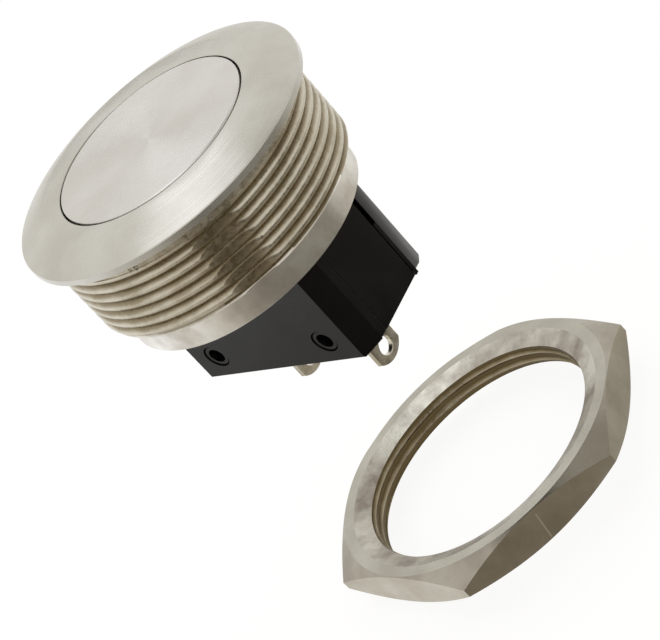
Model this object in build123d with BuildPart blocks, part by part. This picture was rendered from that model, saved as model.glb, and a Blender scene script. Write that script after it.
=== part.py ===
from build123d import *
import math
import os

# A panel pushbutton switch: a turned stainless barrel with a flanged bezel and a flush round
# button, a black moulded housing that carries a contact block with two solder lugs, and the
# thin hexagon nut that clamps the barrel to its panel, taken off and lying apart.
# Origin at the centre of the flange's underside. +Z points out through the button's face,
# X runs across the two lugs, and the housing's cheek with the two stud ends faces -Y.
# All lengths are in millimetres.

# Bezel and barrel
THREAD_DIA = 25.0
FLANGE_OVERHANG = 1.25
FLANGE_EDGE = 0.65
RING_FACE = 2.09
RING_TOP = 1.7
EDGE_BREAK = 0.15
THREAD_LENGTH = 7.95
THREAD_LEAD_IN = 0.3
COLLAR_STEP = 1.1
COLLAR_WALL = 0.9
COLLAR_LENGTH = 2.6
KEY_FLAT_ANGLE = -40.0
KEY_FLAT_DEPTH = 0.24
WELL_WALL = 3.49
WEB_TOP = -4.2
WEB_THICKNESS = 1.5
HEAD_SHOULDER = -7.0
SHOULDER_LAND = 0.9

# Button, stem and their guide
BUTTON_GAP = 0.15
BUTTON_PROUD = 0.05
BUTTON_WALL = 1.1
BUTTON_SKIRT = 0.95
BUTTON_SKIRT_DEPTH = 2.25
BUTTON_BOSS_DIA = 7.6
BUTTON_BOSS_DEPTH = 1.85
STEM_DIA = 5.0
STEM_NOSE_DIA = 3.2
STEM_NOSE_LENGTH = 0.6
STEM_SOCKET_DEPTH = 1.6
TRAVEL = 1.0
RUNNING_GAP = 0.05
STEP_GAP = 0.1
BUSH_WALL = 0.45
BUSH_FLANGE_STEP = 1.2
BUSH_FLANGE = 0.6
GLAND_PLAY = 0.04
GLAND_DEPTH = 1.1
SEAL_SECTION = 0.96
CLIP_DIA = 8.4
CLIP_THICKNESS = 0.5
CLIP_GROOVE_DEPTH = 0.5
CLIP_SIDE_GAP = 0.02
CLIP_MOUTH = 3.0
SEAL_SIDES = 8

# Springs
RETURN_SPRING_DIA = 10.4
RETURN_WIRE = 0.6
RETURN_TURNS = 4
CONTACT_SPRING_DIA = 2.6
CONTACT_WIRE = 0.3
CONTACT_TURNS = 5
WIRE_SIDES = 8
STEPS_PER_TURN = 20

# Housing
HOUSING_FIT = 0.1
HEAD_THICKNESS = 1.6
HEAD_HOLE_DIA = 10.0
NEAR_FACE = -5.3
NEAR_CHEEK = 1.94
CHEEK_REAR = -20.1
SPINE_WIDTH = 14.7
FAR_WALL_FRONT = 3.9
FAR_WALL = 2.0
FAR_WALL_REAR = -20.3
FAR_WALL_CORNER = 0.5
WALL_PAD_TOP = -14.3
WALL_PAD_GAP = 0.2
STUD_SPACING = 12.7
STUD_RISE = 2.4
STUD_DIA = 2.1
STUD_BORE_DIA = 1.5
STUD_HOLE_DIA = 2.35
STUD_RECESS = 0.1
BLOCK_HOLE_GAP = 0.05
RING_THICKNESS = 0.7
RING_WIDTH = 1.15
RING_SEAT_DEPTH = 0.5
RING_MOUTH = 7.0
RING_SIDE_GAP = 0.02

# Contact block
BLOCK_SIDE_STEP = 0.1
BLOCK_DEPTH = 6.69
BLOCK_TOP = -9.9
COVER_THICKNESS = 0.96
CHAMBER_WIDTH = 13.2
CHAMBER_WALL = 0.95
CHAMBER_TOP = -11.2
CHAMBER_FLOOR = -16.2
SPRING_POCKET_DIA = 3.6
SPRING_POCKET_FLOOR = -18.2

# Contacts and lugs
LUG_WIDTH = 3.3
LUG_THICKNESS = 0.5
LUG_TIP = -25.65
LUG_SHOULDER = -24.9
LUG_HOLE_DIA = 1.6
LUG_HOLE_RISE = 1.45
OPEN_LUG_X = 4.7
COMMON_LUG_X = -4.3
LUG_ARM = 2.2
LUG_ARM_MARGIN = 0.2
LUG_SLOT_GAP = 0.02
CONTACT_DIA = 1.8
CONTACT_HEIGHT = 0.4
CONTACT_CLOSED_GAP = 0.02
PUSHER_DIA = 2.0
PUSHER_TOP_GAP = 0.05
CROSSHEAD_WIDTH = 3.2
CROSSHEAD_DEPTH = 2.6
BRIDGE_WIDTH = 2.4
BRIDGE_THICKNESS = 0.4
BRIDGE_OVERHANG = 1.2
BRIDGE_CORNER_R = 0.6

# Mounting nut, lying apart behind the switch
NUT_BORE_DIA = 23.9
NUT_WALL = 3.0
NUT_THICKNESS = 3.67
NUT_SINK_WIDTH = 1.8
NUT_SINK_DEPTH = 0.78
NUT_CHAMFER_REACH = 2.4
NUT_CHAMFER_ANGLE = 30.5
NUT_PLACE = (-8.73, 9.8, -47.9)
NUT_LEAN = 3.4
NUT_TURN = -8.0

# Sizes that follow from the ones above
thread_r = THREAD_DIA / 2
flange_r = thread_r + FLANGE_OVERHANG
well_r = thread_r - WELL_WALL
ring_r = well_r + RING_FACE
collar_r = thread_r - COLLAR_STEP
rear_bore_r = collar_r - COLLAR_WALL
barrel_end = -THREAD_LENGTH - COLLAR_LENGTH
web_under = WEB_TOP - WEB_THICKNESS
button_r = well_r - BUTTON_GAP
button_top = RING_TOP + BUTTON_PROUD
button_ceiling = button_top - BUTTON_WALL
boss_end = button_ceiling - BUTTON_BOSS_DEPTH
stem_r = STEM_DIA / 2
stem_top = boss_end + STEM_SOCKET_DEPTH
gland_r = stem_r + RUNNING_GAP + SEAL_SECTION + GLAND_PLAY
bush_r = gland_r + BUSH_WALL
bush_flange_r = bush_r + BUSH_FLANGE_STEP
bush_under = web_under - BUSH_FLANGE
clip_top = bush_under - RUNNING_GAP
stem_tip = BLOCK_TOP + STEP_GAP + TRAVEL
head_r = rear_bore_r - HOUSING_FIT
head_under = HEAD_SHOULDER - HEAD_THICKNESS
ring_outer_r = rear_bore_r + RING_SEAT_DEPTH - RUNNING_GAP
ring_inner_r = ring_outer_r - RING_WIDTH
ring_under = head_under - RING_THICKNESS
block_near = NEAR_FACE + NEAR_CHEEK
block_far = block_near + BLOCK_DEPTH
block_case_near = block_near + COVER_THICKNESS
near_outer_half = math.sqrt(head_r**2 - NEAR_FACE**2)
near_inner_half = math.sqrt(head_r**2 - block_near**2)
block_width = 2 * (near_inner_half - BLOCK_SIDE_STEP)
far_wall_half = math.sqrt(head_r**2 - FAR_WALL_FRONT**2)
stud_z = CHEEK_REAR + STUD_RISE
stud_places = [(-STUD_SPACING / 2, stud_z), (STUD_SPACING / 2, stud_z)]
chamber_height = CHAMBER_TOP - CHAMBER_FLOOR
pusher_top = stem_tip - PUSHER_TOP_GAP
crosshead_top = CHAMBER_TOP - RUNNING_GAP
fixed_contact_top = CHAMBER_FLOOR + LUG_THICKNESS + CONTACT_HEIGHT
bridge_under = fixed_contact_top + CONTACT_CLOSED_GAP + TRAVEL + CONTACT_HEIGHT
bridge_top = bridge_under + BRIDGE_THICKNESS
contact_inset = LUG_ARM - CONTACT_DIA / 2 - LUG_ARM_MARGIN
open_contact_x = OPEN_LUG_X - contact_inset
common_contact_x = COMMON_LUG_X + contact_inset
nut_bore_r = NUT_BORE_DIA / 2
nut_sink_r = nut_bore_r + NUT_SINK_WIDTH
nut_flats_r = nut_bore_r + NUT_WALL
nut_corner_r = nut_flats_r / math.cos(math.pi / 6)
nut_face_r = nut_corner_r - NUT_CHAMFER_REACH
nut_reach = nut_corner_r + EDGE_BREAK
nut_fall = (nut_reach - nut_face_r) * math.tan(math.radians(NUT_CHAMFER_ANGLE))

os.makedirs("parts", exist_ok=True)


def across(y):
    """A plane that looks along Y: its x is the row's X and its y is the row's Z."""
    return Plane(origin=(0, y, 0), x_dir=(1, 0, 0), z_dir=(0, -1, 0))


def save(builder, label):
    """Label a finished piece and write it as one STEP file."""
    builder.part.label = label
    export_step(builder.part, f"parts/{label}.step")


# Bezel and threaded barrel, turned in one piece
with BuildPart() as bezel_barrel:
    with BuildSketch(Plane.XZ):
        with BuildLine():
            Polyline(
                (well_r, WEB_TOP),
                (well_r, RING_TOP),
                (ring_r, RING_TOP),
                (flange_r, FLANGE_EDGE),
                (flange_r, 0),
                (thread_r, 0),
                (thread_r, -THREAD_LENGTH + THREAD_LEAD_IN),
                (thread_r - THREAD_LEAD_IN, -THREAD_LENGTH),
                (collar_r, -THREAD_LENGTH),
                (collar_r, barrel_end),
                (rear_bore_r, barrel_end),
                (rear_bore_r, HEAD_SHOULDER),
                (rear_bore_r - SHOULDER_LAND, HEAD_SHOULDER),
                (rear_bore_r - SHOULDER_LAND, web_under),
                (bush_r, web_under),
                (bush_r, WEB_TOP),
                close=True,
            )
        make_face()
    revolve(axis=Axis.Z)
    rim_edges = bezel_barrel.edges().filter_by(GeomType.CIRCLE)
    rim_edges = rim_edges.filter_by(lambda edge: edge.radius > thread_r + EDGE_BREAK)
    chamfer(rim_edges, EDGE_BREAK)
    lip_edges = bezel_barrel.edges().filter_by(GeomType.CIRCLE).group_by(Axis.Z)[-1]
    chamfer(lip_edges.sort_by(SortBy.RADIUS)[0], EDGE_BREAK)
    # Groove for the ring that holds the housing in
    with BuildSketch(Plane.XY.offset(head_under)):
        Circle(rear_bore_r + RING_SEAT_DEPTH)
        Circle(rear_bore_r, mode=Mode.SUBTRACT)
    extrude(amount=-RING_THICKNESS - RING_SIDE_GAP, mode=Mode.SUBTRACT)
    # Keying flat along the thread
    flat_out = Vector(math.cos(math.radians(KEY_FLAT_ANGLE)), math.sin(math.radians(KEY_FLAT_ANGLE)), 0)
    flat_plane = Plane(origin=flat_out * (thread_r - KEY_FLAT_DEPTH), x_dir=(0, 0, -1), z_dir=flat_out)
    with BuildSketch(flat_plane):
        Rectangle(THREAD_LENGTH, THREAD_DIA, align=(Align.MIN, Align.CENTER))
    extrude(amount=KEY_FLAT_DEPTH, mode=Mode.SUBTRACT)
save(bezel_barrel, "bezel_barrel")

# Flanged plastic bush in the web, with the seal's gland in its top
with BuildPart() as guide_bush:
    with BuildSketch(Plane.XZ):
        with BuildLine():
            Polyline(
                (stem_r + RUNNING_GAP, bush_under),
                (bush_flange_r, bush_under),
                (bush_flange_r, web_under),
                (bush_r, web_under),
                (bush_r, WEB_TOP),
                (gland_r, WEB_TOP),
                (gland_r, WEB_TOP - GLAND_DEPTH),
                (stem_r + RUNNING_GAP, WEB_TOP - GLAND_DEPTH),
                close=True,
            )
        make_face()
    revolve(axis=Axis.Z)
save(guide_bush, "guide_bush")

# Rubber ring that seals the stem
with BuildPart() as stem_seal:
    with BuildSketch(Plane.XZ):
        with Locations((stem_r + RUNNING_GAP + SEAL_SECTION / 2, WEB_TOP - GLAND_DEPTH + SEAL_SECTION / 2)):
            RegularPolygon(SEAL_SECTION / 2, SEAL_SIDES, major_radius=False, rotation=180 / SEAL_SIDES)
    revolve(axis=Axis.Z)
save(stem_seal, "stem_seal")

# Button cap: a turned disc with a skirt and a socket for the stem
with BuildPart() as button_cap:
    with BuildSketch(Plane.XZ):
        with BuildLine():
            Polyline(
                (0, button_top),
                (button_r, button_top),
                (button_r, button_top - BUTTON_WALL - BUTTON_SKIRT_DEPTH),
                (button_r - BUTTON_SKIRT, button_top - BUTTON_WALL - BUTTON_SKIRT_DEPTH),
                (button_r - BUTTON_SKIRT, button_ceiling),
                (BUTTON_BOSS_DIA / 2, button_ceiling),
                (BUTTON_BOSS_DIA / 2, boss_end),
                (stem_r, boss_end),
                (stem_r, stem_top),
                (0, stem_top),
                close=True,
            )
        make_face()
    revolve(axis=Axis.Z)
    chamfer(button_cap.edges().filter_by(GeomType.CIRCLE).group_by(Axis.Z)[-1], EDGE_BREAK)
save(button_cap, "button_cap")

# Stem, pressed into the cap, with the clip's groove
with BuildPart() as button_stem:
    with BuildSketch(Plane.XY.offset(stem_top)):
        Circle(stem_r)
    extrude(amount=stem_tip + STEM_NOSE_LENGTH - stem_top)
    with BuildSketch(Plane.XY.offset(stem_tip)):
        Circle(STEM_NOSE_DIA / 2)
    extrude(amount=STEM_NOSE_LENGTH)
    with BuildSketch(Plane.XY.offset(clip_top + CLIP_SIDE_GAP)):
        Circle(stem_r)
        Circle(stem_r - CLIP_GROOVE_DEPTH, mode=Mode.SUBTRACT)
    extrude(amount=-CLIP_THICKNESS - 2 * CLIP_SIDE_GAP, mode=Mode.SUBTRACT)
save(button_stem, "button_stem")

# Open clip that stops the stem against the bush
with BuildPart() as stem_clip:
    with BuildSketch(Plane.XY.offset(clip_top)):
        Circle(CLIP_DIA / 2)
        Circle(stem_r - CLIP_GROOVE_DEPTH + CLIP_SIDE_GAP, mode=Mode.SUBTRACT)
        Rectangle(CLIP_DIA, CLIP_MOUTH, align=(Align.MIN, Align.CENTER), mode=Mode.SUBTRACT)
    extrude(amount=-CLIP_THICKNESS)
save(stem_clip, "stem_clip")


def coil(base, top, diameter, wire, turns):
    """A wire coil between base and top, faceted round the wire and along its turns."""
    rise = top - base - wire
    steps = STEPS_PER_TURN * turns
    points = []
    for step in range(steps + 1):
        angle = 2 * math.pi * step / STEPS_PER_TURN
        height = base + wire / 2 + rise * step / steps
        points.append((diameter / 2 * math.cos(angle), diameter / 2 * math.sin(angle), height))
    with BuildPart() as spring:
        with BuildLine() as path:
            Polyline(*points)
        with BuildSketch(Plane(origin=path.line @ 0, z_dir=path.line % 0)):
            RegularPolygon(wire / 2, WIRE_SIDES)
        sweep(transition=Transition.RIGHT)
    return spring


return_spring = coil(WEB_TOP, button_ceiling, RETURN_SPRING_DIA, RETURN_WIRE, RETURN_TURNS)
save(return_spring, "return_spring")
contact_spring = coil(
    SPRING_POCKET_FLOOR, bridge_under, CONTACT_SPRING_DIA, CONTACT_WIRE, CONTACT_TURNS
)
save(contact_spring, "contact_spring")

# Housing carrier: round head, spine, far wall and the two hollow studs, moulded in one
with BuildPart() as housing_carrier:
    with BuildSketch(across(FAR_WALL_FRONT + FAR_WALL)) as far_wall:
        with Locations((0, FAR_WALL_REAR)):
            Rectangle(2 * far_wall_half, head_under - FAR_WALL_REAR, align=(Align.CENTER, Align.MIN))
        chamfer(far_wall.vertices().group_by(Axis.Y)[0], FAR_WALL_CORNER)
    extrude(amount=FAR_WALL)
    with BuildSketch(across(FAR_WALL_FRONT)):
        with Locations((0, CHEEK_REAR)):
            Rectangle(SPINE_WIDTH, head_under - CHEEK_REAR, align=(Align.CENTER, Align.MIN))
    extrude(amount=FAR_WALL_FRONT - block_far)
    # Thicker foot of the far wall, close behind the block
    with BuildSketch(across(FAR_WALL_FRONT)):
        with Locations((0, FAR_WALL_REAR)):
            Rectangle(2 * far_wall_half, WALL_PAD_TOP - FAR_WALL_REAR, align=(Align.CENTER, Align.MIN))
    extrude(amount=FAR_WALL_FRONT - block_far - WALL_PAD_GAP)
    with BuildSketch(Plane.XY.offset(head_under)):
        Circle(head_r)
    extrude(amount=FAR_WALL_REAR - head_under, mode=Mode.INTERSECT)
    # Round head with the hole that the stem works in
    with BuildSketch(Plane.XY.offset(head_under)):
        Circle(head_r)
        Circle(HEAD_HOLE_DIA / 2, mode=Mode.SUBTRACT)
    extrude(amount=HEAD_THICKNESS)
    # Waist where the retaining ring sits
    with BuildSketch(Plane.XY.offset(head_under)):
        Circle(rear_bore_r)
        Circle(ring_inner_r - RUNNING_GAP, mode=Mode.SUBTRACT)
    extrude(amount=-RING_THICKNESS - RING_SIDE_GAP, mode=Mode.SUBTRACT)
    # Hollow studs through the block and the near cheek
    with BuildSketch(across(block_far)):
        with Locations(*stud_places):
            Circle(STUD_DIA / 2)
            Circle(STUD_BORE_DIA / 2, mode=Mode.SUBTRACT)
    extrude(amount=block_far - NEAR_FACE - STUD_RECESS)
save(housing_carrier, "housing_carrier")

# Near cheek: a plate whose sides follow the barrel's bore, with the two stud holes
with BuildPart() as near_cheek:
    with BuildSketch(Plane.XY.offset(head_under)):
        with BuildLine():
            Polyline(
                (-near_outer_half, NEAR_FACE),
                (near_outer_half, NEAR_FACE),
                (near_inner_half, block_near),
                (-near_inner_half, block_near),
                close=True,
            )
        make_face()
    extrude(amount=CHEEK_REAR - head_under)
    rear_edge = near_cheek.faces().sort_by(Axis.Y)[0].edges().sort_by(Axis.Z)[0]
    chamfer(rear_edge, EDGE_BREAK)
    with BuildSketch(across(block_near)):
        with Locations(*stud_places):
            Circle(STUD_HOLE_DIA / 2)
    extrude(amount=NEAR_CHEEK, mode=Mode.SUBTRACT)
    with BuildSketch(Plane.XY.offset(head_under)):
        Circle(rear_bore_r + RING_SEAT_DEPTH)
        Circle(ring_inner_r - RUNNING_GAP, mode=Mode.SUBTRACT)
    extrude(amount=-RING_THICKNESS - RING_SIDE_GAP, mode=Mode.SUBTRACT)
save(near_cheek, "near_cheek")

# Sprung retaining ring, open on the far side
with BuildPart() as housing_ring:
    with BuildSketch(Plane.XY.offset(head_under)):
        Circle(ring_outer_r)
        Circle(ring_inner_r, mode=Mode.SUBTRACT)
        Rectangle(RING_MOUTH, ring_outer_r, align=(Align.CENTER, Align.MIN), mode=Mode.SUBTRACT)
    extrude(amount=-RING_THICKNESS)
save(housing_ring, "housing_ring")

# Contact block case: open chamber on its near side, slots for the lugs, stud holes
with BuildPart() as block_case:
    with BuildSketch(across(block_far)):
        with Locations((0, CHEEK_REAR)):
            Rectangle(block_width, BLOCK_TOP - CHEEK_REAR, align=(Align.CENTER, Align.MIN))
    extrude(amount=block_far - block_case_near)
    with BuildSketch(across(block_far - CHAMBER_WALL)):
        with Locations((0, CHAMBER_FLOOR)):
            Rectangle(CHAMBER_WIDTH, chamber_height, align=(Align.CENTER, Align.MIN))
    extrude(amount=block_far - CHAMBER_WALL - block_case_near, mode=Mode.SUBTRACT)
    with BuildSketch(across(block_far)):
        with Locations(*stud_places):
            Circle(STUD_DIA / 2 + BLOCK_HOLE_GAP)
    extrude(amount=BLOCK_DEPTH, mode=Mode.SUBTRACT)
    with BuildSketch(Plane.XY.offset(BLOCK_TOP)):
        Circle(PUSHER_DIA / 2 + RUNNING_GAP)
    extrude(amount=CHAMBER_TOP - BLOCK_TOP, mode=Mode.SUBTRACT)
    with BuildSketch(Plane.XY.offset(CHAMBER_FLOOR)):
        Circle(SPRING_POCKET_DIA / 2)
    extrude(amount=SPRING_POCKET_FLOOR - CHAMBER_FLOOR, mode=Mode.SUBTRACT)
    with BuildSketch(Plane.XY.offset(CHEEK_REAR)):
        with Locations((OPEN_LUG_X, 0), (COMMON_LUG_X, 0)):
            Rectangle(LUG_THICKNESS + 2 * LUG_SLOT_GAP, LUG_WIDTH + 2 * LUG_SLOT_GAP)
    extrude(amount=CHAMBER_FLOOR - CHEEK_REAR, mode=Mode.SUBTRACT)
save(block_case, "block_case")

# Cover that closes the contact block's near side
with BuildPart() as block_cover:
    with BuildSketch(across(block_case_near)):
        with Locations((0, CHEEK_REAR)):
            Rectangle(block_width, BLOCK_TOP - CHEEK_REAR, align=(Align.CENTER, Align.MIN))
        with Locations(*stud_places):
            Circle(STUD_DIA / 2 + BLOCK_HOLE_GAP, mode=Mode.SUBTRACT)
    extrude(amount=COVER_THICKNESS)
save(block_cover, "block_cover")


def terminal(x, inward):
    """A solder lug at x: a pierced blade whose top is bent over along the chamber's floor."""
    arm_top = CHAMBER_FLOOR + LUG_THICKNESS
    half = LUG_WIDTH / 2
    with BuildPart() as lug:
        with BuildSketch(Plane(origin=(x - LUG_THICKNESS / 2, 0, 0), x_dir=(0, 1, 0), z_dir=(1, 0, 0))):
            with BuildLine():
                Polyline((-half, LUG_SHOULDER), (-half, arm_top), (half, arm_top), (half, LUG_SHOULDER))
                ThreePointArc((half, LUG_SHOULDER), (0, LUG_TIP), (-half, LUG_SHOULDER))
            make_face()
            with Locations((0, LUG_TIP + LUG_HOLE_RISE)):
                Circle(LUG_HOLE_DIA / 2, mode=Mode.SUBTRACT)
        extrude(amount=LUG_THICKNESS)
        with BuildSketch(Plane.XY.offset(CHAMBER_FLOOR)):
            with Locations((x - inward * LUG_THICKNESS / 2, 0)):
                Rectangle(LUG_ARM, LUG_WIDTH, align=(Align.MIN if inward > 0 else Align.MAX, Align.CENTER))
        extrude(amount=LUG_THICKNESS)
    return lug


open_terminal = terminal(OPEN_LUG_X, -1)
save(open_terminal, "open_terminal")
common_terminal = terminal(COMMON_LUG_X, 1)
save(common_terminal, "common_terminal")


def rivet_heads(places, base):
    """Silver contact faces of one size, standing on base at each x."""
    with BuildPart() as heads:
        with BuildSketch(Plane.XY.offset(base)):
            with Locations(*[(x, 0) for x in places]):
                Circle(CONTACT_DIA / 2)
        extrude(amount=CONTACT_HEIGHT)
    return heads


save(rivet_heads([open_contact_x], CHAMBER_FLOOR + LUG_THICKNESS), "open_contact")
save(rivet_heads([common_contact_x], CHAMBER_FLOOR + LUG_THICKNESS), "common_contact")
save(rivet_heads([open_contact_x, common_contact_x], bridge_under - CONTACT_HEIGHT), "bridge_contacts")

# Pusher with its crosshead, which carries the bridge down onto the fixed contacts
with BuildPart() as contact_pusher:
    with BuildSketch(Plane.XY.offset(pusher_top)):
        Circle(PUSHER_DIA / 2)
    extrude(amount=crosshead_top - pusher_top)
    with BuildSketch(Plane.XY.offset(crosshead_top)):
        Rectangle(CROSSHEAD_WIDTH, CROSSHEAD_DEPTH)
    extrude(amount=bridge_top - crosshead_top)
save(contact_pusher, "contact_pusher")

# Contact bridge
with BuildPart() as contact_bridge:
    bridge_length = open_contact_x - common_contact_x + 2 * BRIDGE_OVERHANG
    with BuildSketch(Plane.XY.offset(bridge_under)):
        with Locations(((open_contact_x + common_contact_x) / 2, 0)):
            RectangleRounded(bridge_length, BRIDGE_WIDTH, BRIDGE_CORNER_R)
    extrude(amount=BRIDGE_THICKNESS)
save(contact_bridge, "contact_bridge")

# Thin hexagon nut, chamfered on both faces and countersunk at both ends of its thread
lean = math.radians(NUT_LEAN)
nut_axis = Vector(-math.sin(lean), 0, math.cos(lean))
nut_face = Plane(origin=NUT_PLACE, x_dir=(math.cos(lean), 0, math.sin(lean)), z_dir=nut_axis)
nut_section = Plane(origin=NUT_PLACE, x_dir=nut_face.x_dir, z_dir=-nut_face.y_dir)
with BuildPart() as mounting_nut:
    with BuildSketch(nut_face):
        RegularPolygon(nut_flats_r, 6, major_radius=False, rotation=NUT_TURN)
    extrude(amount=-NUT_THICKNESS)
    with BuildSketch(nut_section):
        with BuildLine():
            Polyline(
                (nut_sink_r, 0),
                (nut_face_r, 0),
                (nut_reach, -nut_fall),
                (nut_reach, nut_fall - NUT_THICKNESS),
                (nut_face_r, -NUT_THICKNESS),
                (nut_sink_r, -NUT_THICKNESS),
                (nut_bore_r, NUT_SINK_DEPTH - NUT_THICKNESS),
                (nut_bore_r, -NUT_SINK_DEPTH),
                close=True,
            )
        make_face()
    revolve(axis=Axis(NUT_PLACE, nut_axis), mode=Mode.INTERSECT)
save(mounting_nut, "mounting_nut")
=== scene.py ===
import bpy
import math
from mathutils import Matrix, Vector


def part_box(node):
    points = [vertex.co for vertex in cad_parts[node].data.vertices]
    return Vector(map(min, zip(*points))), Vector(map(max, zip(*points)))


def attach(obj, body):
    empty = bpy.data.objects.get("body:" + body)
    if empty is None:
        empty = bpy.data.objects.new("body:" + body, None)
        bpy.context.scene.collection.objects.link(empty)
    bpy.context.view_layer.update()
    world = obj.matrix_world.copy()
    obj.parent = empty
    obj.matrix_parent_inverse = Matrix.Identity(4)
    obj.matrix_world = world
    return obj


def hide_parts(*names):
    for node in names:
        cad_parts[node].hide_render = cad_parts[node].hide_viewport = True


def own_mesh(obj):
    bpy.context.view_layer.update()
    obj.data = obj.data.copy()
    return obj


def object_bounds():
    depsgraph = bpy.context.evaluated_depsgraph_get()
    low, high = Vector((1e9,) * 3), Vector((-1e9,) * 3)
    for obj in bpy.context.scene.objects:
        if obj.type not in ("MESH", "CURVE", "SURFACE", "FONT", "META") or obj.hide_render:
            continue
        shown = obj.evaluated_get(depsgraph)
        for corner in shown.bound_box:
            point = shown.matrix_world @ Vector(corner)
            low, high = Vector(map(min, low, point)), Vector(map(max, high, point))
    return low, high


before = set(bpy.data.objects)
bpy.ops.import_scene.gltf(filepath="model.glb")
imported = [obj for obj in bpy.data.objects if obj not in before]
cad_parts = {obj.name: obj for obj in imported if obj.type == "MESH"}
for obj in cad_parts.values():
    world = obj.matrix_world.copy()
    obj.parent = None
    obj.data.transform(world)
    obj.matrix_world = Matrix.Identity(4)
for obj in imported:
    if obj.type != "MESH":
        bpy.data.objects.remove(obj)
cad_low, cad_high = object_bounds()

# A round metal pushbutton switch and its hexagon nut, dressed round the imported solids.
# Lengths are in metres. MM turns a millimetre figure into metres.
MM = 0.001

# Photograph's camera, found by fitting the object's circles, holes and edges
FOCAL_PX = 2800
PHOTO_WIDTH = 660
SENSOR_WIDTH = 36.0
CAMERA_PLACE = Vector((163.26, -116.93, 91.01)) * MM
CAMERA_RIGHT = Vector((0.6993, 0.4060, -0.5883))
CAMERA_UP = Vector((0.1029, 0.7573, 0.6449))

# Lathe and thread sizes
SEGMENTS = 288
PITCH = 1.0 * MM
THREAD_DEPTH = 0.37 * MM
# Half of one turn's section, from root to crest, as shares of the pitch and of the depth
THREAD_SECTION = ((0.0, 1.0), (0.09, 0.7), (0.18, 0.4), (0.28, 0.16), (0.4, 0.0))
RUNOUT_LENGTH = 1.15 * MM
RUNOUT_DEPTH = 0.08 * MM
EDGE_BREAK = 0.15 * MM
FINE_BREAK = 0.06 * MM

# Distances within which points of a mesh are one: on turned walls, after a cut, on threads and eased solids
TURNED_SEAM = 1e-7
CUT_SEAM = 2e-7
SEAM = 1e-6

# Angles in degrees up to which a piece's walls are smoothed, and above which a solid's edges are eased
SMOOTH_ANGLE = 28
CRISP_ANGLE = 20
COIL_ANGLE = 60
BEVEL_ANGLE = 40

barrel_low, barrel_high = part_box("bezel_barrel")
flange_r = barrel_high.x
ring_top = barrel_high.z
barrel_end = barrel_low.z
FLANGE_EDGE = 0.65 * MM
RING_R = 11.1 * MM
THREAD_R = 12.5 * MM
THREAD_END = -7.95 * MM
LEAD_IN = 0.3 * MM
COLLAR_R = 11.4 * MM
WELL_R = 9.01 * MM
WEB_TOP = -4.2 * MM
WEB_UNDER = -5.7 * MM
BUSH_R = 4.0 * MM
HEAD_SHOULDER = -7.0 * MM
SHOULDER_BORE_R = 9.6 * MM
REAR_BORE_R = 10.5 * MM
KEY_FLAT_ANGLE = math.radians(-40)
KEY_FLAT_R = 12.26 * MM
# Small pits under the flange: way round, height and radius. The first lies in the thread's groove and takes
# nothing away, but its cut changes how the keying flat's faces are split.
PITS = ((math.radians(16.5), -1.37 * MM, 0.2 * MM),
        (math.radians(285.7), -0.87 * MM, 0.2 * MM),
        (math.radians(288.5), -0.87 * MM, 0.22 * MM))

# Button: thickness of its skirt and face, then its boss and the stem's socket in it, with both ends
# measured down from the face
BUTTON_SKIRT = 0.95 * MM
BUTTON_WALL = 1.1 * MM
BOSS_R = 3.8 * MM
BOSS_CLEARANCE_R = 4.2 * MM
BOSS_END = 2.95 * MM
SOCKET_R = 2.5 * MM
SOCKET_END = 1.35 * MM

# Floor, cards and lamps, the long lengths in plain metres. The glow is how bright the floor looks to the
# eye and in reflections, and its share is how far it covers the paper's own shading.
FLOOR_SIZE = 12.0
FLOOR_DROP = 1.0 * MM
FLOOR_GLOW = 1.08
FLOOR_GLOW_SHARE = 0.8
CARD_R = 0.3
CARD_DROP = 0.5 * MM
LAMP_DISTANCE = 0.50

# Rings of the reflected card, where each grading starts to give way to the next, and the blurs between
CARD_FOOT = 27 * MM
CARD_BOUNCE = 44 * MM
CARD_NEAR = 60 * MM
CARD_BLUR = 5 * MM
CARD_FAR_BLUR = 22 * MM

# Nut, lying apart with a slight lean
NUT_PLACE = Vector((-8.73, 9.8, -47.9)) * MM
NUT_LEAN = math.radians(-3.4)
NUT_TURN = math.radians(-8)
NUT_FLATS_R = 14.95 * MM
NUT_THICKNESS = 3.67 * MM
NUT_BORE_R = 11.95 * MM
NUT_THREAD_DEPTH = 0.24 * MM
NUT_SINK_WIDTH = 1.8 * MM
NUT_SINK_SLOPE = 0.433
NUT_CHAMFER_REACH = 2.4 * MM
NUT_CHAMFER = math.radians(30.5)
# Half the angle that one flat of the nut takes up
HALF_FLAT = math.radians(30)

# How upright a face's normal is, from 0 to 1. It tells the nut's thread, countersink, chamfer and flats
# apart.
THREAD_UPRIGHT = 0.85
SINK_UPRIGHT = 0.98
CHAMFER_UPRIGHT = (0.7, 0.95)
FLAT_UPRIGHT = 0.1

# Scratch on the nut's near flat: its ends, along the flat and down from its face, its half width, how
# strongly it shows, and the share of its half length where it starts to fade
SCRATCH_START = (0.47 * MM, -0.51 * MM)
SCRATCH_END = (0.07 * MM, -3.62 * MM)
SCRATCH_WIDTH = 0.12 * MM
SCRATCH_STRENGTH = 0.8
SCRATCH_FADE = 0.8

# Sizes of the finishes' patterns. Real turning marks, tumbling marks and moulded grain are finer than the
# render can show, so these are drawn two or three times as coarse.
FLANGE_GROOVE = 0.2 * MM
BUTTON_GROOVE = 0.12 * MM
SMUDGE = 6 * MM
OIL_FILM = 3 * MM
TORN_METAL = 0.5 * MM
TUMBLED_CLOUD = 4 * MM
TUMBLED_GRAIN = 0.3 * MM
MOULDED_SHEEN = 5 * MM

# Lower than the plastics' own index, because their eroded skin mirrors less
MOULDED_IOR = 1.34


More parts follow.
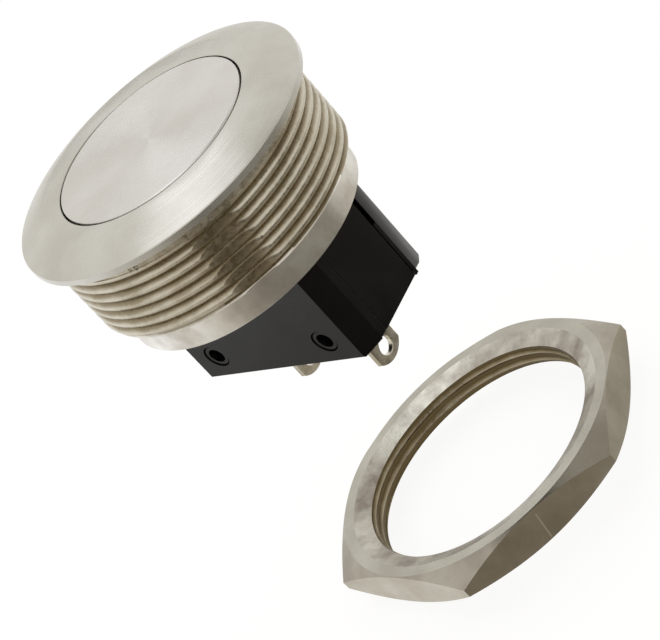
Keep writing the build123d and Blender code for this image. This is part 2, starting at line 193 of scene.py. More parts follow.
def linear(hex_code):
    """A linear RGBA colour from an sRGB hex value."""
    parts = [int(hex_code[i:i + 2], 16) / 255 for i in (1, 3, 5)]
    return [c / 12.92 if c <= 0.04045 else ((c + 0.055) / 1.055) ** 2.4 for c in parts] + [1.0]


def node(tree, kind, inputs=None, stops=(), **settings):
    """Add one shader node, set its properties and a ramp's stops, and set or link its inputs.

    Inputs go by name or number. Stops are (position, linear RGBA) pairs.
    """
    made = tree.nodes.new(kind)
    for key, value in settings.items():
        setattr(made, key, value)
    if stops:
        elements = made.color_ramp.elements
        while len(elements) < len(stops):
            elements.new(0.5)
        for element, (position, colour) in zip(elements, stops):
            element.position = position
            element.color = colour
    for key, value in (inputs or {}).items():
        socket = made.inputs[key]
        if isinstance(value, bpy.types.NodeSocket):
            tree.links.new(value, socket)
        else:
            socket.default_value = value
    return made


def new_material(name):
    """An empty material, its node tree and its output node."""
    material = bpy.data.materials.new(name)
    material.use_nodes = True
    material.node_tree.nodes.clear()
    output = node(material.node_tree, "ShaderNodeOutputMaterial")
    return material, material.node_tree, output


def grey(value):
    """A neutral linear RGBA value for ramps that drive roughness."""
    return [value, value, value, 1.0]


def turned_coordinates(tree, centre=(0, 0, 0), axis=(0, 0, 1)):
    """Object coordinates of a turned piece: position, distance from the axis, and the tangent round it."""
    place = node(tree, "ShaderNodeTexCoord").outputs["Object"]
    local = node(tree, "ShaderNodeVectorMath", {0: place, 1: centre}, operation="SUBTRACT").outputs[0]
    around = node(tree, "ShaderNodeVectorMath", {0: axis, 1: local}, operation="CROSS_PRODUCT").outputs[0]
    radius = node(tree, "ShaderNodeVectorMath", {0: around}, operation="LENGTH").outputs[1]
    tangent = node(tree, "ShaderNodeVectorMath", {0: around}, operation="NORMALIZE").outputs[0]
    return local, radius, tangent


def turned_metal(name, light, dark, roughness, groove_width, groove_height, centre=(0, 0, 0), axis=(0, 0, 1)):
    """Face-turned metal: fine rings round the axis, which stretch highlights into fans."""
    material, tree, output = new_material(name)
    local, radius, tangent = turned_coordinates(tree, centre, axis)
    rings = node(tree, "ShaderNodeTexNoise", {"W": radius, "Scale": 1 / groove_width, "Detail": 3.0},
                 noise_dimensions="1D").outputs["Fac"]
    smudge = node(tree, "ShaderNodeTexNoise", {"Vector": local, "Scale": 1 / SMUDGE, "Detail": 4.0,
                                               "Roughness": 0.55}).outputs["Fac"]
    tint = node(tree, "ShaderNodeValToRGB", {"Fac": smudge}, stops=[
        (0.35, linear(dark)), (0.65, linear(light))]).outputs["Color"]
    dull = node(tree, "ShaderNodeValToRGB", {"Fac": rings}, stops=[
        (0.3, grey(roughness - 0.04)), (0.7, grey(roughness + 0.06))]).outputs["Color"]
    bump = node(tree, "ShaderNodeBump", {"Height": rings, "Strength": 0.6, "Distance": groove_height})
    shader = node(tree, "ShaderNodeBsdfPrincipled", {
        "Base Color": tint, "Metallic": 1.0, "Roughness": dull, "Anisotropic": 0.75,
        "Anisotropic Rotation": 0.25, "Tangent": tangent, "Normal": bump.outputs[0]})
    tree.links.new(shader.outputs[0], output.inputs[0])
    return material


def cut_thread_metal(name, crest, flank, groove, roughness, low_r, high_r, centre=(0, 0, 0), axis=(0, 0, 1)):
    """Single-point cut thread: painted darker and browner towards the roots, partly cutting oil left in the
    grooves and partly painted shade.
    """
    material, tree, output = new_material(name)
    local, radius, tangent = turned_coordinates(tree, centre, axis)
    height = node(tree, "ShaderNodeMapRange", {0: radius, 1: low_r, 2: high_r}).outputs[0]
    film = node(tree, "ShaderNodeTexNoise", {"Vector": local, "Scale": 1 / OIL_FILM,
                                             "Detail": 3.0}).outputs["Fac"]
    torn = node(tree, "ShaderNodeTexNoise", {"Vector": local, "Scale": 1 / TORN_METAL, "Detail": 4.0,
                                             "Roughness": 0.65}).outputs["Fac"]
    patches = node(tree, "ShaderNodeMath", {0: film, 1: 0.5}, operation="SUBTRACT").outputs[0]
    level = node(tree, "ShaderNodeMath", {0: height, 1: patches}, operation="ADD").outputs[0]
    flecks = node(tree, "ShaderNodeMath", {0: torn, 1: 0.5}, operation="SUBTRACT").outputs[0]
    flecks = node(tree, "ShaderNodeMath", {0: flecks, 1: 0.5}, operation="MULTIPLY").outputs[0]
    level = node(tree, "ShaderNodeMath", {0: level, 1: flecks}, operation="ADD").outputs[0]
    tint = node(tree, "ShaderNodeValToRGB", {"Fac": level}, stops=[
        (0.15, linear(groove)), (0.6, linear(flank)), (1.0, linear(crest))]).outputs["Color"]
    dull = node(tree, "ShaderNodeValToRGB", {"Fac": torn}, stops=[
        (0.35, grey(roughness - 0.06)), (0.65, grey(roughness + 0.1))]).outputs["Color"]
    bump = node(tree, "ShaderNodeBump", {"Height": torn, "Strength": 0.6, "Distance": 0.06 * MM})
    shader = node(tree, "ShaderNodeBsdfPrincipled", {
        "Base Color": tint, "Metallic": 1.0, "Roughness": dull, "Anisotropic": 0.3,
        "Anisotropic Rotation": 0.25, "Tangent": tangent, "Normal": bump.outputs[0]})
    tree.links.new(shader.outputs[0], output.inputs[0])
    return material


def scratched(tree, tint, place, scratch):
    """A tint with one thin straight scratch, painted brighter than the metal round it: real wear, drawn with
    a painted glint.
    """
    middle, across, half_length = scratch
    offset = node(tree, "ShaderNodeVectorMath", {0: place, 1: middle}, operation="SUBTRACT").outputs[0]
    aside = node(tree, "ShaderNodeVectorMath", {0: offset, 1: across},
                 operation="DOT_PRODUCT").outputs["Value"]
    away = node(tree, "ShaderNodeVectorMath", {0: offset}, operation="LENGTH").outputs["Value"]
    beside = node(tree, "ShaderNodeMath", {0: aside}, operation="ABSOLUTE").outputs[0]
    line = node(tree, "ShaderNodeMapRange", {0: beside, 1: SCRATCH_WIDTH, 2: 0.0}).outputs[0]
    full_length = SCRATCH_FADE * half_length
    held = node(tree, "ShaderNodeMapRange", {0: away, 1: half_length, 2: full_length}).outputs[0]
    share = node(tree, "ShaderNodeMath", {0: line, 1: held}, operation="MULTIPLY").outputs[0]
    share = node(tree, "ShaderNodeMath", {0: share, 1: SCRATCH_STRENGTH}, operation="MULTIPLY").outputs[0]
    return node(tree, "ShaderNodeMix", {0: share, 6: tint, 7: linear("#FFFCF0")}, data_type="RGBA").outputs[2]


def tumbled_metal(name, light, dark, roughness, scratch=None):
    """Tumbled metal: cloudy, with soft dents a few millimetres wide, and a scratch if it has one."""
    material, tree, output = new_material(name)
    place = node(tree, "ShaderNodeTexCoord").outputs["Object"]
    cloud = node(tree, "ShaderNodeTexNoise", {"Vector": place, "Scale": 1 / TUMBLED_CLOUD, "Detail": 5.0,
                                              "Roughness": 0.6}).outputs["Fac"]
    grain = node(tree, "ShaderNodeTexNoise", {"Vector": place, "Scale": 1 / TUMBLED_GRAIN, "Detail": 2.0})
    tint = node(tree, "ShaderNodeValToRGB", {"Fac": cloud}, stops=[
        (0.35, linear(dark)), (0.62, linear(light))]).outputs["Color"]
    if scratch:
        tint = scratched(tree, tint, place, scratch)
    dull = node(tree, "ShaderNodeValToRGB", {"Fac": cloud}, stops=[
        (0.3, grey(roughness + 0.1)), (0.7, grey(roughness))]).outputs["Color"]
    soft = node(tree, "ShaderNodeBump", {"Height": cloud, "Strength": 0.5, "Distance": 0.10 * MM})
    bump = node(tree, "ShaderNodeBump", {"Height": grain.outputs["Fac"], "Strength": 0.4,
                                         "Distance": 0.01 * MM, "Normal": soft.outputs[0]})
    shader = node(tree, "ShaderNodeBsdfPrincipled", {
        "Base Color": tint, "Metallic": 1.0, "Roughness": dull, "Normal": bump.outputs[0]})
    tree.links.new(shader.outputs[0], output.inputs[0])
    return material


def moulded_plastic(name, colour, roughness, grain_size):
    """Moulded engineering plastic: a fine eroded grain under a faint uneven sheen."""
    material, tree, output = new_material(name)
    place = node(tree, "ShaderNodeTexCoord").outputs["Object"]
    sheen = node(tree, "ShaderNodeTexNoise", {"Vector": place, "Scale": 1 / MOULDED_SHEEN, "Detail": 3.0})
    grain = node(tree, "ShaderNodeTexNoise", {"Vector": place, "Scale": 1 / grain_size, "Detail": 2.0})
    dull = node(tree, "ShaderNodeValToRGB", {"Fac": sheen.outputs["Fac"]}, stops=[
        (0.35, grey(roughness - 0.05)), (0.65, grey(roughness + 0.07))]).outputs["Color"]
    bump = node(tree, "ShaderNodeBump", {"Height": grain.outputs["Fac"], "Strength": 0.3,
                                         "Distance": 0.02 * MM})
    shader = node(tree, "ShaderNodeBsdfPrincipled", {
        "Base Color": linear(colour), "Roughness": dull, "IOR": MOULDED_IOR, "Normal": bump.outputs[0]})
    tree.links.new(shader.outputs[0], output.inputs[0])
    return material


def plain_metal(name, light, dark, roughness, cloud_size):
    """Drawn, rolled or dipped metal with a slight unevenness in tone and gloss."""
    material, tree, output = new_material(name)
    place = node(tree, "ShaderNodeTexCoord").outputs["Object"]
    cloud = node(tree, "ShaderNodeTexNoise", {"Vector": place, "Scale": 1 / cloud_size,
                                              "Detail": 4.0}).outputs["Fac"]
    tint = node(tree, "ShaderNodeValToRGB", {"Fac": cloud}, stops=[
        (0.35, linear(dark)), (0.65, linear(light))]).outputs["Color"]
    dull = node(tree, "ShaderNodeValToRGB", {"Fac": cloud}, stops=[
        (0.3, grey(roughness - 0.05)), (0.7, grey(roughness + 0.08))]).outputs["Color"]
    bump = node(tree, "ShaderNodeBump", {"Height": cloud, "Strength": 0.4, "Distance": 0.03 * MM})
    shader = node(tree, "ShaderNodeBsdfPrincipled", {
        "Base Color": tint, "Metallic": 1.0, "Roughness": dull, "Normal": bump.outputs[0]})
    tree.links.new(shader.outputs[0], output.inputs[0])
    return material


def nut_scratch():
    """The scratch down the flat that faces the camera: its middle, the way across it and half its length."""
    lean = Matrix.Rotation(NUT_LEAN, 3, "Y")
    facing = NUT_TURN - HALF_FLAT
    outward = Vector((math.cos(facing), math.sin(facing), 0))
    along_flat = Vector((-math.sin(facing), math.cos(facing), 0))
    start = outward * NUT_FLATS_R + along_flat * SCRATCH_START[0] + Vector((0, 0, SCRATCH_START[1]))
    end = outward * NUT_FLATS_R + along_flat * SCRATCH_END[0] + Vector((0, 0, SCRATCH_END[1]))
    middle = NUT_PLACE + lean @ ((start + end) / 2)
    across = lean @ outward.cross(end - start).normalized()
    return tuple(middle), tuple(across), (end - start).length / 2


nut_axis = Matrix.Rotation(NUT_LEAN, 3, "Y") @ Vector((0, 0, 1))

# Face-turned stainless steel: silvery, with highlights drawn out into fans across the rings
FLANGE_STEEL = turned_metal("flange_turned_stainless", "#D9D7D1", "#CBC8C0", 0.26, FLANGE_GROOVE, 0.002 * MM)
BUTTON_STEEL = turned_metal("button_turned_stainless", "#E3E1DF", "#D9D6D1", 0.29, BUTTON_GROOVE, 0.004 * MM)

# Cut and tumbled stainless steel: a thread painted darker and browner towards its roots, partly oil and
# partly painted shade, and a cloudy collar
THREAD_STEEL = cut_thread_metal("thread_cut_stainless", "#D2CBBB", "#A29781", "#8F836B", 0.29,
                                THREAD_R - THREAD_DEPTH, THREAD_R)
COLLAR_STEEL = tumbled_metal("collar_tumbled_stainless", "#FAF8F2", "#D0CAC0", 0.27)

# Nickel plate over turned and milled brass: warmer and darker than the steel, with a soft shine
NUT_NICKEL = turned_metal("nut_turned_nickel_plate", "#C8C6BB", "#B3AFA4", 0.27, FLANGE_GROOVE, 0.006 * MM,
                          tuple(NUT_PLACE), tuple(nut_axis))
# The countersink's copy of the nickel is painted darker than the face, as painted shade, and mottled at
# random
NUT_SINK_SHADED_NICKEL = tumbled_metal("nut_countersink_nickel_plate", "#CFCCC1", "#8F857D", 0.24)
# The chamfers' copy of the nickel is a little darker than the face: painted shade
NUT_CHAMFER_SHADED_NICKEL = tumbled_metal("nut_chamfer_nickel_plate", "#B8B3A7", "#A69F93", 0.25)
NUT_FLAT_NICKEL = tumbled_metal("nut_flat_nickel_plate", "#CDC8BC", "#BAB3A6", 0.15, nut_scratch())
# The nut's thread is painted darker and browner towards its roots in the same way: partly oil, partly painted
# shade
NUT_THREAD_NICKEL = cut_thread_metal("nut_thread_nickel_plate", "#B0A68F", "#8F836B", "#67593F", 0.34,
                                     NUT_BORE_R + NUT_THREAD_DEPTH, NUT_BORE_R,
                                     tuple(NUT_PLACE), tuple(nut_axis))

# Mouldings: black nylon with a low sheen, pale acetal and dull rubber
BLACK_NYLON = moulded_plastic("housing_moulded_black_nylon", "#060505", 0.29, 0.25 * MM)
WHITE_ACETAL = moulded_plastic("bush_moulded_acetal", "#D8D5CC", 0.40, 0.3 * MM)
SEAL_RUBBER = moulded_plastic("seal_moulded_nitrile", "#1B1B1A", 0.65, 0.2 * MM)

# Dipped, drawn, coined and rolled metals: bright tin, grey wire, pale silver and golden bronze
TINNED_BRASS = plain_metal("lug_hot_tinned_brass", "#EAE5D8", "#D2CBBA", 0.27, 1.4 * MM)
SPRING_STEEL = plain_metal("spring_drawn_steel", "#A9A6A0", "#97938B", 0.32, 1.0 * MM)
CONTACT_SILVER = plain_metal("contact_coined_silver", "#DEDCD6", "#CFCCC3", 0.25, 0.8 * MM)
BRONZE_STRIP = plain_metal("bridge_rolled_bronze", "#C79A63", "#B58750", 0.30, 1.0 * MM)


def deselect():
    """Leave edit mode with nothing selected."""
    if bpy.context.object and bpy.context.object.mode != "OBJECT":
        bpy.ops.object.mode_set(mode="OBJECT")
    bpy.ops.object.select_all(action="DESELECT")


def activate(piece):
    """Make a piece the only selected and active object."""
    deselect()
    piece.select_set(True)
    bpy.context.view_layer.objects.active = piece


def turn(name, stations, bored=False):
    """A turned solid. Stations are (radius, height) pairs from one flat end of it to the other.

    A bored one is open through its middle, and its stations go round its section.
    """
    deselect()
    last_r, last_z = stations[0]
    bpy.ops.mesh.primitive_circle_add(vertices=SEGMENTS, radius=last_r, location=(0, 0, last_z),
                                      fill_type="NOTHING" if bored else "NGON")
    piece = bpy.context.object
    piece.name = name
    piece.data.name = name
    bpy.ops.object.transform_apply(location=True, rotation=True, scale=True)
    bpy.ops.object.mode_set(mode="EDIT")
    bpy.ops.mesh.select_all(action="SELECT")
    closing = stations[:1] if bored else []
    for radius, height in stations[1:] + closing:
        bpy.ops.mesh.extrude_region_move(TRANSFORM_OT_translate={"value": (0, 0, height - last_z)})
        share = radius / last_r
        bpy.ops.transform.resize(value=(share, share, 1), center_override=(0, 0, height))
        last_r, last_z = radius, height
    bpy.ops.mesh.select_all(action="SELECT")
    if bored:
        bpy.ops.mesh.remove_doubles(threshold=TURNED_SEAM)
    bpy.ops.mesh.normals_make_consistent(inside=False)
    deselect()
    return piece


def threaded_rod(name, crest_r, thread_depth, top, bottom):
    """A rod with a right-hand thread that runs past top and bottom, its stepped ends closed."""
    section = list(THREAD_SECTION) + [(1 - share, depth) for share, depth in THREAD_SECTION[:0:-1]]
    turns = math.ceil((top - bottom) / PITCH) + 2
    points = [(0, 0, bottom - 1.5 * PITCH)]
    for count in range(turns):
        low = bottom + (count - 1.5) * PITCH
        points += [(crest_r - depth * thread_depth, 0, low + share * PITCH) for share, depth in section]
    end = bottom + (turns - 1.5) * PITCH
    points += [(crest_r - thread_depth, 0, end), (0, 0, end)]
    mesh = bpy.data.meshes.new(name)
    mesh.from_pydata(points, [(i, i + 1) for i in range(len(points) - 1)], [])
    rod = bpy.data.objects.new(name, mesh)
    bpy.context.collection.objects.link(rod)
    activate(rod)
    screw = rod.modifiers.new("screw", "SCREW")
    screw.angle = 2 * math.pi
    screw.screw_offset = PITCH
    screw.iterations = 1
    screw.steps = SEGMENTS
    screw.render_steps = SEGMENTS
    bpy.ops.object.modifier_apply(modifier="screw")
    bpy.ops.object.mode_set(mode="EDIT")
    bpy.ops.mesh.select_all(action="SELECT")
    bpy.ops.mesh.remove_doubles(threshold=SEAM)
    bpy.ops.mesh.fill_holes(sides=0)
    bpy.ops.mesh.select_all(action="SELECT")
    bpy.ops.mesh.normals_make_consistent(inside=False)
    deselect()
    return rod


def combine(piece, tool, operation):
    """Join, cut or keep what a piece shares with a tool, and delete the tool."""
    activate(piece)
    change = piece.modifiers.new("combine", "BOOLEAN")
    change.operation = operation
    change.solver = "EXACT"
    change.object = tool
    bpy.ops.object.modifier_apply(modifier="combine")
    bpy.data.objects.remove(tool, do_unlink=True)


def finish_mesh(piece, angle=SMOOTH_ANGLE):
    """Merge what a cut leaves doubled, face it outwards and smooth its round walls."""
    activate(piece)
    bpy.ops.object.mode_set(mode="EDIT")
    bpy.ops.mesh.select_all(action="SELECT")
    bpy.ops.mesh.remove_doubles(threshold=CUT_SEAM)
    bpy.ops.mesh.normals_make_consistent(inside=False)
    bpy.ops.object.mode_set(mode="OBJECT")
    bpy.ops.object.shade_smooth_by_angle(angle=math.radians(angle))
    deselect()


def give(piece, *materials):
    """Put materials into a piece's slots."""
    piece.data.materials.clear()
    for material in materials:
        piece.data.materials.append(material)


def place_piece(piece, body, slot, *nodes):
    """Tie a piece to its body and hide the nodes that it stands for. The slot is not used."""
    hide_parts(*nodes)
    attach(piece, body)


def make_barrel():
    """The bezel and threaded barrel: a turned blank with its thread, keying flat, bores and pits."""
    runout_r = THREAD_R - RUNOUT_DEPTH
    core_r = THREAD_R - 2 * THREAD_DEPTH
    thread_top = -RUNOUT_LENGTH + RUNOUT_DEPTH
    blank = turn("bezel_and_barrel", [
        (COLLAR_R - FINE_BREAK, barrel_end),
        (COLLAR_R, barrel_end + FINE_BREAK),
        (COLLAR_R, THREAD_END + PITCH),
        (core_r, THREAD_END + PITCH),
        (core_r, -RUNOUT_LENGTH - THREAD_DEPTH),
        (runout_r, -RUNOUT_LENGTH),
        (runout_r, 0),
        (flange_r - FINE_BREAK, 0),
        (flange_r, FINE_BREAK),
        (flange_r, FLANGE_EDGE - FINE_BREAK),
        (flange_r - FINE_BREAK, FLANGE_EDGE + FINE_BREAK / 4),
        (RING_R, ring_top),
    ])
    rod = threaded_rod("thread_blank", THREAD_R, THREAD_DEPTH, thread_top, THREAD_END)
    lead = turn("lead_in_form", [
        (THREAD_R - LEAD_IN, THREAD_END),
        (THREAD_R + PITCH, THREAD_END + LEAD_IN + PITCH),
        (THREAD_R + PITCH, thread_top),
    ])
    combine(rod, lead, "INTERSECT")
    deselect()
    bpy.ops.mesh.primitive_cube_add(size=2 * THREAD_R)
    flat = bpy.context.object
    flat_place = Matrix.Translation((KEY_FLAT_R + THREAD_R, 0, 0))
    flat.data.transform(Matrix.Rotation(KEY_FLAT_ANGLE, 4, "Z") @ flat_place)
    combine(rod, flat, "DIFFERENCE")
    combine(blank, rod, "UNION")
    bores = turn("bore_tool", [
        (REAR_BORE_R, barrel_end - PITCH),
        (REAR_BORE_R, HEAD_SHOULDER),
        (SHOULDER_BORE_R, HEAD_SHOULDER),
        (SHOULDER_BORE_R, WEB_UNDER),
        (BUSH_R, WEB_UNDER),
        (BUSH_R, WEB_TOP),
        (WELL_R, WEB_TOP),
        (WELL_R, ring_top - FINE_BREAK),
        (WELL_R + FINE_BREAK, ring_top),
        (WELL_R + FINE_BREAK, ring_top + PITCH),
    ])
    combine(blank, bores, "DIFFERENCE")
    for angle, height, radius in PITS:
        deselect()
        bpy.ops.mesh.primitive_ico_sphere_add(subdivisions=3, radius=radius)
        punch = bpy.context.object
        punch.data.transform(Matrix.Rotation(angle, 4, "Z") @ Matrix.Translation((THREAD_R, 0, height)))
        combine(blank, punch, "DIFFERENCE")
    give(blank, FLANGE_STEEL, THREAD_STEEL, COLLAR_STEEL)
    for face in blank.data.polygons:
        middle = face.center
        radius = math.hypot(middle.x, middle.y)
        if middle.z > -FINE_BREAK or radius < REAR_BORE_R:
            face.material_index = 0
        elif middle.z > THREAD_END + LEAD_IN:
            face.material_index = 1
        else:
            face.material_index = 2
    finish_mesh(blank)
    place_piece(blank, "barrel", "turned_stainless", "bezel_barrel")


def make_button():
    """The button: a turned disc with a crisp, slightly broken edge, and a skirt and boss below."""
    low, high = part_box("button_cap")
    radius = high.x
    top = high.z
    skirt_end = low.z
    cap = turn("round_button", [
        (radius - EDGE_BREAK, skirt_end),
        (radius, skirt_end + EDGE_BREAK),
        (radius, top - EDGE_BREAK),
        (radius - FINE_BREAK / 2, top - FINE_BREAK),
        (radius - EDGE_BREAK, top),
    ])
    hollow = turn("skirt_hollow", [
        (BOSS_R, skirt_end - PITCH),
        (radius - BUTTON_SKIRT, skirt_end - PITCH),
        (radius - BUTTON_SKIRT, top - BUTTON_WALL),
        (BOSS_R, top - BUTTON_WALL),
    ], bored=True)
    combine(cap, hollow, "DIFFERENCE")
    socket = turn("stem_socket", [
        (BOSS_CLEARANCE_R, skirt_end - PITCH),
        (BOSS_CLEARANCE_R, top - BOSS_END),
        (SOCKET_R, top - BOSS_END),
        (SOCKET_R, top - SOCKET_END),
    ])
    combine(cap, socket, "DIFFERENCE")
    give(cap, BUTTON_STEEL)
    finish_mesh(cap, CRISP_ANGLE)
    place_piece(cap, "button", "button_stainless", "button_cap")


def make_nut():
    """The thin hexagon nut: chamfered both sides, countersunk, with its internal thread."""
    corner_r = NUT_FLATS_R / math.cos(HALF_FLAT)
    face_r = corner_r - NUT_CHAMFER_REACH
    reach = corner_r + EDGE_BREAK
    fall = (reach - face_r) * math.tan(NUT_CHAMFER)
    past = PITCH / 2
    tip_r = face_r - past / math.tan(NUT_CHAMFER)
    deselect()
    bpy.ops.mesh.primitive_cylinder_add(vertices=6, radius=corner_r,
                                        depth=NUT_THICKNESS, location=(0, 0, -NUT_THICKNESS / 2))
    nut = bpy.context.object
    nut.name = "hexagon_nut"
    nut.data.name = "hexagon_nut"
    bpy.ops.object.transform_apply(location=True, rotation=True, scale=True)
    nut.data.transform(Matrix.Rotation(NUT_TURN - HALF_FLAT, 4, "Z"))
    chamfers = turn("chamfer_form", [
        (tip_r, -NUT_THICKNESS - past),
        (reach, -NUT_THICKNESS + fall),
        (reach, -fall),
        (tip_r, past),
    ])
    combine(nut, chamfers, "INTERSECT")
    rod = threaded_rod("nut_tap", NUT_BORE_R + NUT_THREAD_DEPTH, NUT_THREAD_DEPTH,
                       PITCH / 2, -NUT_THICKNESS - PITCH / 2)
    combine(nut, rod, "DIFFERENCE")
    for face_z, sign in ((0, 1), (-NUT_THICKNESS, -1)):
        sink_r = NUT_BORE_R + NUT_SINK_WIDTH
        sink = turn("countersink", sorted([
            (NUT_BORE_R - PITCH, face_z - sign * (NUT_SINK_WIDTH + PITCH) * NUT_SINK_SLOPE),
            (sink_r + PITCH, face_z + sign * PITCH * NUT_SINK_SLOPE),
        ], key=lambda station: station[1]))
        combine(nut, sink, "DIFFERENCE")
    give(nut, NUT_NICKEL, NUT_FLAT_NICKEL, NUT_THREAD_NICKEL, NUT_SINK_SHADED_NICKEL, NUT_CHAMFER_SHADED_NICKEL)
    for face in nut.data.polygons:
        radius = math.hypot(face.center.x, face.center.y)
        upright = abs(face.normal.z)
        if radius < NUT_BORE_R + NUT_THREAD_DEPTH and upright < THREAD_UPRIGHT:
            face.material_index = 2
        elif radius < NUT_BORE_R + NUT_SINK_WIDTH and upright < SINK_UPRIGHT:
            face.material_index = 3
        elif CHAMFER_UPRIGHT[0] < upright < CHAMFER_UPRIGHT[1]:
            face.material_index = 4
        elif upright < FLAT_UPRIGHT:
            face.material_index = 1
        else:
            face.material_index = 0
    nut.data.transform(Matrix.Translation(NUT_PLACE) @ Matrix.Rotation(NUT_LEAN, 4, "Y"))
    finish_mesh(nut, CRISP_ANGLE)
    place_piece(nut, "barrel", "nickel_plated_brass", "mounting_nut")


def make_spring(node_name, piece_name):
    """A copy of a coil spring with a mesh of its own, in spring steel."""
    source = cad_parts[node_name]
    spring = bpy.data.objects.new(piece_name, source.data.copy())
    bpy.context.collection.objects.link(spring)
    give(spring, SPRING_STEEL)
    finish_mesh(spring, COIL_ANGLE)
    place_piece(spring, "barrel", "spring_steel", node_name)
    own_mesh(spring)


def dress_nodes():
    """Finishes for the solids that keep their own shape, with the larger ones' edges eased."""
    finishes = {
        "housing_carrier": BLACK_NYLON, "near_cheek": BLACK_NYLON, "block_case": BLACK_NYLON,
        "block_cover": BLACK_NYLON, "contact_pusher": BLACK_NYLON, "guide_bush": WHITE_ACETAL,
        "stem_seal": SEAL_RUBBER, "button_stem": FLANGE_STEEL, "stem_clip": SPRING_STEEL,
        "housing_ring": SPRING_STEEL, "open_terminal": TINNED_BRASS, "common_terminal": TINNED_BRASS,
        "open_contact": CONTACT_SILVER, "common_contact": CONTACT_SILVER,
        "bridge_contacts": CONTACT_SILVER, "contact_bridge": BRONZE_STRIP,
    }
    eased = {"housing_carrier": 0.12, "near_cheek": 0.07, "block_case": 0.08, "block_cover": 0.08,
             "open_terminal": 0.06, "common_terminal": 0.06}
    for name, material in finishes.items():
        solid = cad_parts[name]
        for slot in solid.material_slots:
            slot.material = material
        if name in eased:
            weld = solid.modifiers.new("weld", "WELD")
            weld.merge_threshold = SEAM
            bevel = solid.modifiers.new("bevel", "BEVEL")
            bevel.width = eased[name] * MM
            bevel.segments = 2
            bevel.limit_method = "ANGLE"
            bevel.angle_limit = math.radians(BEVEL_ANGLE)


def make_stage():
    """A wide pale floor under the nut. It stays white to the eye and in reflections, and takes shadows."""
    deselect()
    low = cad_low.z - FLOOR_DROP
    bpy.ops.mesh.primitive_grid_add(size=FLOOR_SIZE, x_subdivisions=4, y_subdivisions=4, location=(0, 0, low))
    floor = bpy.context.object
    floor.name = "pale_floor"
    bpy.ops.object.transform_apply(location=True, rotation=True, scale=True)
    material, tree, output = new_material("floor_matt_white_paper")
    path = node(tree, "ShaderNodeLightPath").outputs
    rays = {0: path["Is Camera Ray"], 1: path["Is Glossy Ray"]}
    seen = node(tree, "ShaderNodeMath", rays, operation="MAXIMUM").outputs[0]
    rays = {0: seen, 1: path["Is Transmission Ray"]}
    seen = node(tree, "ShaderNodeMath", rays, operation="MAXIMUM").outputs[0]
    paper = node(tree, "ShaderNodeBsdfDiffuse", {"Color": linear("#F2F1EE")})
    glow = node(tree, "ShaderNodeEmission", {"Color": linear("#FFFFFF"), "Strength": FLOOR_GLOW})
    share = node(tree, "ShaderNodeMath", {0: seen, 1: FLOOR_GLOW_SHARE}, operation="MULTIPLY").outputs[0]
    mixed = node(tree, "ShaderNodeMixShader", {0: share, 1: paper.outputs[0], 2: glow.outputs[0]})
    tree.links.new(mixed.outputs[0], output.inputs[0])
    give(floor, material)


def hide_from_all_but_reflections(card):
    """Keep a card out of sight, out of the shadows and out of the soft light."""
    card.visible_camera = False
    card.visible_diffuse = False
    card.visible_shadow = False
    card.visible_transmission = False


def make_card():
    """A round card on the floor that only shows in reflections: dark in front, pale behind."""
    deselect()
    low = cad_low.z - CARD_DROP
    bpy.ops.mesh.primitive_circle_add(vertices=64, radius=CARD_R, location=(0, 0, low), fill_type="NGON")
    card = bpy.context.object
    card.name = "graded_card"
    bpy.ops.object.transform_apply(location=True, rotation=True, scale=True)
    material, tree, output = new_material("card_graded_felt")
    place = node(tree, "ShaderNodeTexCoord").outputs["Object"]
    part = node(tree, "ShaderNodeSeparateXYZ", {0: place}).outputs
    angle = node(tree, "ShaderNodeMath", {0: part["Y"], 1: part["X"]}, operation="ARCTAN2").outputs[0]
    share = node(tree, "ShaderNodeMath", {0: angle, 1: 2 * math.pi}, operation="DIVIDE").outputs[0]
    share = node(tree, "ShaderNodeMath", {0: share, 1: 0.5}, operation="ADD").outputs[0]
    foot = node(tree, "ShaderNodeValToRGB", {"Fac": share}, stops=[
        (0.14, linear("#E9E7E2")), (0.26, linear("#8A8275")), (0.50, linear("#8A8275")),
        (0.60, linear("#A8A399")), (0.76, linear("#B6B2A8")), (0.86, linear("#E2E0DA"))]).outputs["Color"]
    near = node(tree, "ShaderNodeValToRGB", {"Fac": share}, stops=[
        (0.10, linear("#B9B6B0")), (0.15, linear("#DAD7D2")), (0.24, linear("#D0CCC4")),
        (0.35, linear("#8F877A")), (0.40, linear("#7A7367")), (0.44, linear("#131211")),
        (0.60, linear("#131211")), (0.64, linear("#D8D4CB")), (0.75, linear("#F0EEEA")),
        (0.84, linear("#FFFFFF"))]).outputs["Color"]
    far = node(tree, "ShaderNodeValToRGB", {"Fac": share}, stops=[
        (0.10, linear("#FFFFFF")), (0.24, linear("#C2BDB3")), (0.34, linear("#7B7467")),
        (0.38, linear("#5A544B")), (0.43, linear("#767166")), (0.58, linear("#8A857A")),
        (0.66, linear("#D2CFC6")), (0.84, linear("#FFFFFF"))]).outputs["Color"]
    level = node(tree, "ShaderNodeVectorMath", {0: place, 1: (1, 1, 0)}, operation="MULTIPLY").outputs[0]
    reach = node(tree, "ShaderNodeVectorMath", {0: level}, operation="LENGTH").outputs[1]
    graded = foot
    for start, blur, colour in ((CARD_FOOT, CARD_BLUR, linear("#C4BDAE")), (CARD_BOUNCE, CARD_BLUR, near),
                                (CARD_NEAR, CARD_FAR_BLUR, far)):
        past = node(tree, "ShaderNodeMapRange", {0: reach, 1: start, 2: start + blur}).outputs[0]
        graded = node(tree, "ShaderNodeMix", {0: past, 6: graded, 7: colour}, data_type="RGBA").outputs[2]
    shader = node(tree, "ShaderNodeEmission", {"Color": graded, "Strength": 1.0})
    tree.links.new(shader.outputs[0], output.inputs[0])
    give(card, material)
    hide_from_all_but_reflections(card)


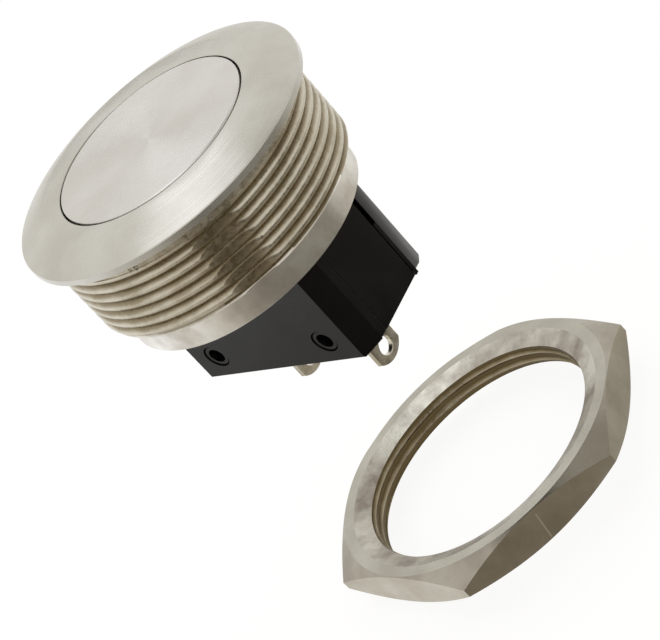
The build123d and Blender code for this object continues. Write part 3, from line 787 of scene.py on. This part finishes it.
def hanging_place(azimuth, elevation):
    """Where a lamp or a card hangs, and the direction out to it from the middle of the object."""
    back = Vector((math.cos(azimuth) * math.cos(elevation), math.sin(azimuth) * math.cos(elevation),
                   math.sin(elevation)))
    return (cad_low + cad_high) / 2 + back * LAMP_DISTANCE, back


def make_side_card(name, azimuth, elevation, size, colour):
    """A square grey card that only shows in reflections, facing the switch."""
    deselect()
    place, back = hanging_place(azimuth, elevation)
    bpy.ops.mesh.primitive_plane_add(size=size)
    card = bpy.context.object
    card.name = name
    turn_to = back.to_track_quat("Z", "Y").to_matrix().to_4x4()
    card.data.transform(Matrix.Translation(place) @ turn_to)
    material, tree, output = new_material(name + "_felt")
    shader = node(tree, "ShaderNodeEmission", {"Color": linear(colour), "Strength": 1.0})
    tree.links.new(shader.outputs[0], output.inputs[0])
    give(card, material)
    hide_from_all_but_reflections(card)


def make_lamp(name, azimuth, elevation, size, power, colour):
    """A square soft lamp aimed at the switch."""
    lamp = bpy.data.lights.new(name, "AREA")
    lamp.shape = "SQUARE"
    lamp.size = size
    lamp.energy = power
    lamp.color = linear(colour)[:3]
    lamp_object = bpy.data.objects.new(name, lamp)
    bpy.context.collection.objects.link(lamp_object)
    place, back = hanging_place(azimuth, elevation)
    lamp_object.location = place
    lamp_object.rotation_mode = "QUATERNION"
    lamp_object.rotation_quaternion = back.to_track_quat("Z", "Y")
    lamp_object.visible_camera = False


def make_lights():
    """Even studio light, two softboxes above and behind, and the cards that the metal reflects."""
    make_lamp("top_softbox", azimuth=math.radians(150), elevation=math.radians(73), size=0.23, power=0.11,
              colour="#F2F6FF")
    make_lamp("back_softbox", azimuth=math.radians(144), elevation=math.radians(48), size=0.10, power=0.028,
              colour="#F2F6FF")
    make_card()
    make_side_card("side_card", azimuth=math.radians(55), elevation=math.radians(64), size=0.42,
                   colour="#ABA79F")
    world = bpy.data.worlds.new("studio")
    bpy.context.scene.world = world
    world.use_nodes = True
    tree = world.node_tree
    tree.nodes.clear()
    output = node(tree, "ShaderNodeOutputWorld")
    sky = node(tree, "ShaderNodeBackground", {"Color": linear("#ECEAE5"), "Strength": 1.0})
    tree.links.new(sky.outputs[0], output.inputs[0])


def make_camera():
    """The photograph's own viewpoint."""
    camera = bpy.data.cameras.new("photo_camera")
    camera.sensor_width = SENSOR_WIDTH
    camera.sensor_fit = "HORIZONTAL"
    camera.lens = FOCAL_PX * SENSOR_WIDTH / PHOTO_WIDTH
    camera.clip_start = 0.01
    camera.clip_end = 50
    camera_object = bpy.data.objects.new("photo_camera", camera)
    bpy.context.collection.objects.link(camera_object)
    right = CAMERA_RIGHT.normalized()
    back = right.cross(CAMERA_UP).normalized()
    up = back.cross(right)
    turn_to = Matrix((right, up, back)).transposed().to_4x4()
    camera_object.matrix_world = Matrix.Translation(CAMERA_PLACE) @ turn_to
    bpy.context.scene.camera = camera_object
    bpy.context.scene.view_settings.view_transform = "Standard"


make_camera()
make_stage()
make_lights()
make_barrel()
make_button()
make_nut()
make_spring("return_spring", "button_return_spring")
make_spring("contact_spring", "carriage_spring")
dress_nodes()
